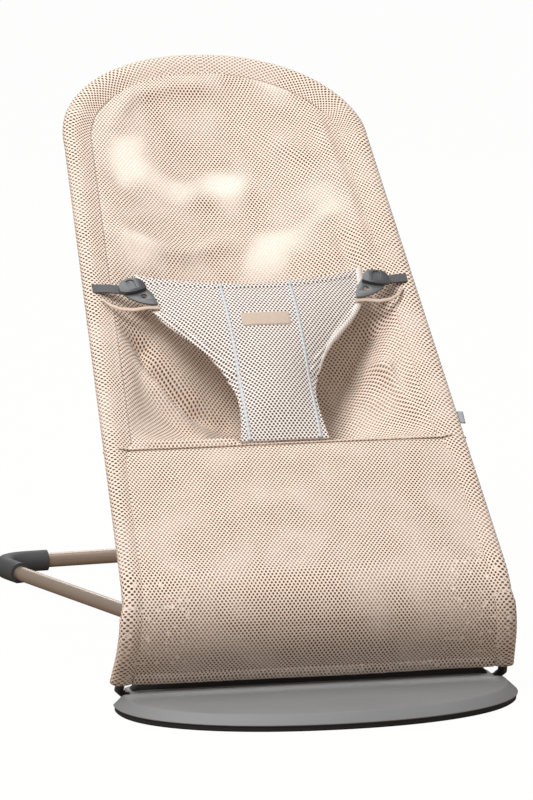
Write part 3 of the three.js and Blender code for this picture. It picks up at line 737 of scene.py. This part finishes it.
def label_place(a, b):
    v = LABEL_LOW + LABEL_RISE * b
    x = (2 * a - 1) * LABEL_HALF + 0.002
    return panel_place(x / through(PANEL_WIDTH, panel_station(v)), v, 0.0024)


label_tag = lay_grid("chest_label", 24, 10, label_place, lambda a, b: (a * 0.047, b * 0.017))
give_thickness(label_tag, 0.0008, -1.0)
round_edges(label_tag, 0.0003, 1, 30)
beige_satin = ribbed_material("beige_satin", (0.62, 0.48, 0.38), (0.50, 0.38, 0.30), 0.0007, 0, 0.35,
                              Sheen_Weight=0.3)
label_tag.data.materials.append(beige_satin)
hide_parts("panel_label")
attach(label_tag, "seat")


# ---- restraint straps ----
# A short length of dark grey woven webbing at each side. It is sewn inside the sleeve and
# comes out through a slit, round to the button.
STRAP_HALF = 0.0052
STRAP_S = 0.408
STRAP_RISE = 0.011
# (x, n) along the strap, from under the button, out over the sleeve and round it.
STRAP_LINE = ((0.1175, 0.1071), (0.130, 0.1064), (0.142, 0.1050), (0.150, 0.1034), (0.1545, 0.1022),
              (0.1570, 0.1003), (0.1578, 0.0975))
webbing = ribbed_material("dark_webbing", (0.135, 0.135, 0.14), (0.030, 0.030, 0.033), 0.0022, 1, 0.7,
                          Sheen_Weight=0.2)


def strap_place(side):
    def place(a, b):
        x, n = part_way(STRAP_LINE, b)
        s = STRAP_S + STRAP_RISE * min(1.0, (x - 0.117) / 0.043) + side * (2 * a - 1) * STRAP_HALF
        return seat_place(side * x, s, n)
    return place


for label, side in SIDES:
    strap = lay_grid(f"webbing_{label}", 10, 60, strap_place(side), lambda a, b: (a * 0.0104, b * 0.045))
    give_thickness(strap, 0.0013)
    strap.data.materials.append(webbing)
    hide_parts(f"strap_{label}")
    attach(strap, "seat")


# ---- bound flaps under the tabs ----
# The flap of mesh under each tab is edged with a narrow beige tape. It runs from the sleeve
# to the tip of the tab.

# The tape's middle line as (x, station, height).
BOUND = ((0.150, 0.4040, 0.1020), (0.144, 0.3950, 0.1035), (0.134, 0.3880, 0.1050), (0.122, 0.3850, 0.1065),
         (0.108, 0.3860, 0.1080), (0.098, 0.3850, 0.1085))


def plain_material(name, colour, rough, grain=900.0, bump=0.12, variation=0.10, **skin_values):
    """A moulded or coated surface with a fine grain and a slight unevenness in its colour."""
    made = new_material(name)
    place = paint(made, "ShaderNodeTexCoord", (-900, 0))
    fine = paint(made, "ShaderNodeTexNoise", (-700, -200), Scale=grain, Detail=3.0, Vector=(place, "Object"))
    broad = paint(made, "ShaderNodeTexNoise", (-700, 200), Scale=14.0, Detail=4.0, Vector=(place, "Object"))
    tone = mix(made, (-400, 200), (broad, "Fac"), (*[c * (1 - variation) for c in colour], 1),
               (*[min(1, c * (1 + variation)) for c in colour], 1))
    worn = paint(made, "ShaderNodeMapRange", (-400, 0), Value=(broad, "Fac"), To_Min=rough - 0.07,
                 To_Max=rough + 0.07)
    relief = paint(made, "ShaderNodeBump", (-400, -250), Strength=bump, Distance=0.0003,
                   Height=(fine, "Fac"))
    skin = paint(made, "ShaderNodeBsdfPrincipled", (0, 0), Base_Color=(tone, 2), Roughness=(worn, 0),
                 Normal=(relief, 0), **skin_values)
    return finish_material(made, skin)


edge_tape = plain_material("beige_edge_tape", (0.60, 0.47, 0.38), 0.8, grain=1500, bump=0.2)
for label, side in SIDES:
    def bound_place(a, b, side=side):
        turn = 2 * math.pi * a
        x, s, n = part_way(BOUND, b)
        return seat_place(side * x, s + 0.0022 * math.cos(turn), n + 0.0011 * math.sin(turn))

    bound = lay_grid(f"bound_edge_{label}", 10, 60, bound_place, lambda a, b: (0.008 * a, 0.06 * b))
    bound.data.materials.append(edge_tape)
    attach(bound, "seat")


# ---- plastic and metal parts that keep their shape ----
# Tabs, buttons, hinges, racks, screws and saddles are moulded or turned parts; each gets
# rounded edges and its own finish.
def soften(name, finish, width):
    """Rounds the edges of a hard part that keeps its shape, and gives it its finish."""
    part = frame["nodes"][name]
    part.modifiers.new("joined corners", "WELD").merge_threshold = 0.00001
    if width:
        edge = part.modifiers.new("rounded edges", "BEVEL")
        edge.width = width
        edge.segments = 3
        edge.limit_method = "ANGLE"
        edge.angle_limit = math.radians(35)
        edge.harden_normals = True
    part.data.materials.clear()
    part.data.materials.append(finish)
    for face in part.data.polygons:
        face.use_smooth = True


tab_plastic = plain_material("mid_grey_plastic_tab", (0.115, 0.12, 0.122), 0.28, Specular_IOR_Level=0.6)
button_plastic = plain_material("dark_grey_plastic", (0.058, 0.060, 0.064), 0.24, Specular_IOR_Level=0.6,
                                Coat_Weight=0.3)
wire_black = plain_material("black_lacquer", (0.018, 0.018, 0.019), 0.38, grain=500, bump=0.06,
                            Specular_IOR_Level=0.5)
zinc = plain_material("zinc_plate", (0.55, 0.55, 0.54), 0.32, grain=1200, bump=0.1, Metallic=1.0)
plate_plastic = plain_material("mid_grey_plastic", (0.195, 0.195, 0.197), 0.55, grain=1400, bump=0.16,
                               Specular_IOR_Level=0.45)
black_rubber = plain_material("black_rubber", (0.014, 0.014, 0.014), 0.75, grain=700, bump=0.3)
grip_rubber = plain_material("dark_grey_rubber", (0.052, 0.053, 0.055), 0.62, grain=800, bump=0.22)
champagne = plain_material("champagne_lacquer", (0.40, 0.315, 0.25), 0.34, grain=650, bump=0.05,
                           Metallic=0.55, Coat_Weight=0.3, Coat_Roughness=0.2)
for label in ("left", "right"):
    soften(f"panel_tab_{label}", tab_plastic, 0.0006)
    soften(f"button_{label}", button_plastic, 0.0009)
    soften(f"rail_{label}", wire_black, 0.0)
    soften(f"hip_tongue_{label}", zinc, 0.0003)
    soften(f"hip_fork_{label}", zinc, 0.0003)
    soften(f"hip_pin_{label}", zinc, 0.0003)
    soften(f"catch_rack_{label}", button_plastic, 0.0005)
    soften(f"prop_peg_{label}", black_rubber, 0.0005)
    soften(f"prop_saddle_{label}", plate_plastic, 0.0008)
    for count in (1, 2):
        soften(f"rack_rivet_{label}_{count}", zinc, 0.0003)
        soften(f"socket_screw_{label}_{count}", zinc, 0.0003)
soften("tube_socket", plate_plastic, 0.0015)
soften("prop_wire", wire_black, 0.0)
soften("back_hoop", wire_black, 0.0)


# ---- side tag ----
# A small plain tag of grey woven tape, folded once. It is sewn into the right sleeve's
# seam.
tag_low, tag_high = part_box("side_tag")


def tag_place(a, b):
    return Vector((tag_low.x - 0.004 + (tag_high.x - tag_low.x + 0.001) * a,
                   tag_low.y + (tag_high.y - tag_low.y) * b,
                   tag_low.z + (tag_high.z - tag_low.z) * b + 0.0006 * math.sin(a * 3)))


side_tag = lay_grid("plain_side_tag", 8, 10, tag_place, lambda a, b: (a * 0.013, b * 0.013))
give_thickness(side_tag, 0.0010, -1.0)
grey_tape = ribbed_material("grey_tape", (0.40, 0.42, 0.45), (0.28, 0.30, 0.33), 0.0009, 1, 0.6)
side_tag.data.materials.append(grey_tape)
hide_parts("side_tag")
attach(side_tag, "seat")


# ---- foot plate ----
# One moulded half moon of grey plastic with a wide sloping rim, on a black rubber sole.
# The rear corners are notched for the seat's hinge wires.
plate_low, plate_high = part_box("foot_plate")
PLATE_HALF = plate_high.x
PLATE_FRONT = plate_low.y
PLATE_REAR = plate_high.y
PLATE_WIDEST = PLATE_FRONT + 0.112
RIM_POINTS = 96
REAR_POINTS = 14


def plate_outline(inset):
    """The half moon drawn inwards by an inset, as (x, y) points."""
    half = PLATE_HALF - inset
    depth = PLATE_WIDEST - PLATE_FRONT - inset
    rear = PLATE_REAR - inset * 0.25
    points = []
    for i in range(RIM_POINTS + 1):
        turn = math.pi + math.pi * i / RIM_POINTS
        full = abs(math.cos(turn)) ** 0.94, abs(math.sin(turn)) ** 0.94
        points.append((math.copysign(half * full[0], math.cos(turn)), PLATE_WIDEST - depth * full[1]))
    corner = half - 0.160
    for side in (1, -1):
        bend = [(half, PLATE_WIDEST), (half, rear), (half - corner, rear)]
        run = [tuple(bend[0][k] * (1 - t) ** 2 + 2 * bend[1][k] * t * (1 - t) + bend[2][k] * t * t
                     for k in (0, 1)) for t in [j / REAR_POINTS for j in range(1, REAR_POINTS + 1)]]
        points += run if side == 1 else [(-x, y) for x, y in reversed(run)][1:]
    return points


def stack_up(name, layers):
    """Rings of the plate's outline, one extrude for each (height, inset), capped at both ends."""
    ring = plate_outline(layers[0][1])
    bpy.ops.object.select_all(action="DESELECT")
    bpy.ops.mesh.primitive_circle_add(vertices=len(ring), radius=1, fill_type="NGON")
    piece = bpy.context.object
    piece.name = name
    count = len(ring)
    for vertex, (x, y) in zip(piece.data.vertices, ring):
        vertex.co = (x, y, layers[0][0])
    for height, inset in layers[1:]:
        bpy.ops.object.mode_set(mode="EDIT")
        bpy.ops.mesh.extrude_region_move(TRANSFORM_OT_translate={"value": (0, 0, 0.001)})
        bpy.ops.object.mode_set(mode="OBJECT")
        moved = [v for v in piece.data.vertices if v.select]
        for vertex, (x, y) in zip(sorted(moved, key=lambda v: v.index)[-count:], plate_outline(inset)):
            vertex.co = (x, y, height)
    bpy.ops.object.mode_set(mode="EDIT")
    bpy.ops.mesh.select_all(action="SELECT")
    bpy.ops.mesh.normals_make_consistent(inside=False)
    bpy.ops.object.mode_set(mode="OBJECT")
    return piece


def notch_corners(piece):
    """Cuts a slot for the hinge wire into both rear corners."""
    wire_x = rail_half(0.0)
    for side in (-1, 1):
        bpy.ops.mesh.primitive_cube_add(size=1, location=(side * (wire_x + 0.0065), hinge.y + 0.0135, 0.01))
        cutter = bpy.context.object
        cutter.scale = (0.034, 0.053, 0.04)
        bpy.ops.object.transform_apply(location=True, scale=True)
        cut = piece.modifiers.new("notch", "BOOLEAN")
        cut.object = cutter
        cut.solver = "EXACT"
        apply_all(piece)
        bpy.data.objects.remove(cutter)


# Both stacks are (height, inset) rings, from the bottom up.
plate = stack_up("foot_plate_shell", ((0.0053, 0.0016), (0.0060, 0.0002), (0.0066, 0.0), (0.0074, 0.0008),
                                      (0.0146, 0.0085), (0.0152, 0.0094), (0.0154, 0.0104), (0.0163, 0.0300)))
notch_corners(plate)
round_edges(plate, 0.0006, 2, 40)
bpy.ops.object.shade_smooth_by_angle(angle=math.radians(28))
plate.data.materials.append(plate_plastic)
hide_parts("foot_plate")
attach(plate, "base")

sole = stack_up("plate_sole_pad", ((0.0, 0.0030), (0.0010, 0.0016), (0.0052, 0.0012)))
notch_corners(sole)
bpy.ops.object.shade_smooth_by_angle(angle=math.radians(28))
sole.data.materials.append(black_rubber)
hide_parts("plate_sole")
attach(sole, "base")


# ---- dark strip at the plate's rear ----
# A low black strip with tapered ends lies along the rear of the plate, where it makes a dark band under the
# hem.
STRIP_Y = hinge.y + 0.006
bpy.ops.mesh.primitive_cube_add(size=1, location=(0, STRIP_Y, 0.0201))
strip = bpy.context.object
strip.name = "rear_dark_strip"
strip.scale = (0.346, 0.015, 0.0090)
bpy.ops.object.transform_apply(location=True, scale=True)
for vertex in strip.data.vertices:
    if vertex.co.z > 0.02:
        vertex.co.x *= 0.955
        vertex.co.y = STRIP_Y + (vertex.co.y - STRIP_Y) * 0.6
round_edges(strip, 0.002, 4, 30)
bpy.ops.object.shade_smooth_by_angle(angle=math.radians(40))
strip.data.materials.append(black_rubber)
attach(strip, "base")


# ---- base tube and rear elbows ----
# One steel tube bent to a wishbone, lacquered champagne. Its rear corners sit in dark
# grey rubber elbows, cut flat where they stand on the floor.
TUBE_RADIUS = 0.0075
BEND_STEPS = 16
TUBE_Z = 0.010
tube_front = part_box("base_tube")[0].y
NECK_X = 0.045
NECK_END = hinge.y + 0.205
CORNER_X = 0.190
CORNER_Y = hinge.y + 0.632
CROSS_Y = CORNER_Y + 0.018


def bent_tube(name, corners, bends, radius, sides=10):
    """A tube along straight runs joined by rounded bends, made as a bevelled curve."""
    route = [Vector(corners[0])]
    for i, bend in enumerate(bends):
        corner = Vector(corners[i + 1])
        into = (corner - Vector(corners[i])).normalized()
        out = (Vector(corners[i + 2]) - corner).normalized()
        reach = bend * math.tan(into.angle(out) / 2)
        start, end = corner - into * reach, corner + out * reach
        for j in range(BEND_STEPS + 1):
            t = j / BEND_STEPS
            route.append(start * (1 - t) ** 2 + corner * 2 * t * (1 - t) + end * t * t)
    route.append(Vector(corners[-1]))
    bpy.ops.object.select_all(action="DESELECT")
    bpy.ops.curve.primitive_nurbs_path_add()
    piece = bpy.context.object
    piece.name = name
    piece.data.splines.clear()
    spline = piece.data.splines.new("POLY")
    spline.points.add(len(route) - 1)
    for point, place in zip(spline.points, route):
        point.co = (*place, 1)
    piece.data.bevel_depth = radius
    piece.data.bevel_resolution = sides
    piece.data.use_fill_caps = True
    bpy.ops.object.convert(target="MESH")
    piece = bpy.context.object
    bpy.ops.object.shade_smooth_by_angle(angle=math.radians(40))
    return piece


right_side = [(NECK_X, tube_front, TUBE_Z), (NECK_X, NECK_END, TUBE_Z), (CORNER_X, CORNER_Y, TUBE_Z)]
left_side = [(-x, y, z) for x, y, z in reversed(right_side)]
base_tube = bent_tube("wishbone_tube", right_side + [(0, CROSS_Y, TUBE_Z)] + left_side,
                      (0.060, 0.030, 0.600, 0.030, 0.060), TUBE_RADIUS)
base_tube.data.materials.append(champagne)
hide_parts("base_tube")
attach(base_tube, "base")

ELBOW_ARM = 0.058
ELBOW_RADIUS = 0.011
ELBOW_BEND = 0.030
for label, side in SIDES:
    corner = Vector((side * CORNER_X, CORNER_Y, TUBE_Z))
    front = (Vector((side * NECK_X, NECK_END, TUBE_Z)) - corner).normalized() * ELBOW_ARM
    inner = (Vector((0, CROSS_Y, TUBE_Z)) - corner).normalized() * ELBOW_ARM
    elbow = bent_tube(f"rear_elbow_{label}", (corner + front, corner, corner + inner), (ELBOW_BEND,),
                      ELBOW_RADIUS, 14)
    for vertex in elbow.data.vertices:
        vertex.co.z = max(0.0, vertex.co.z)
    round_edges(elbow, 0.0016, 3, 60)
    elbow.data.materials.append(grip_rubber)
    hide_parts(f"rear_foot_{label}")
    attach(elbow, "base")
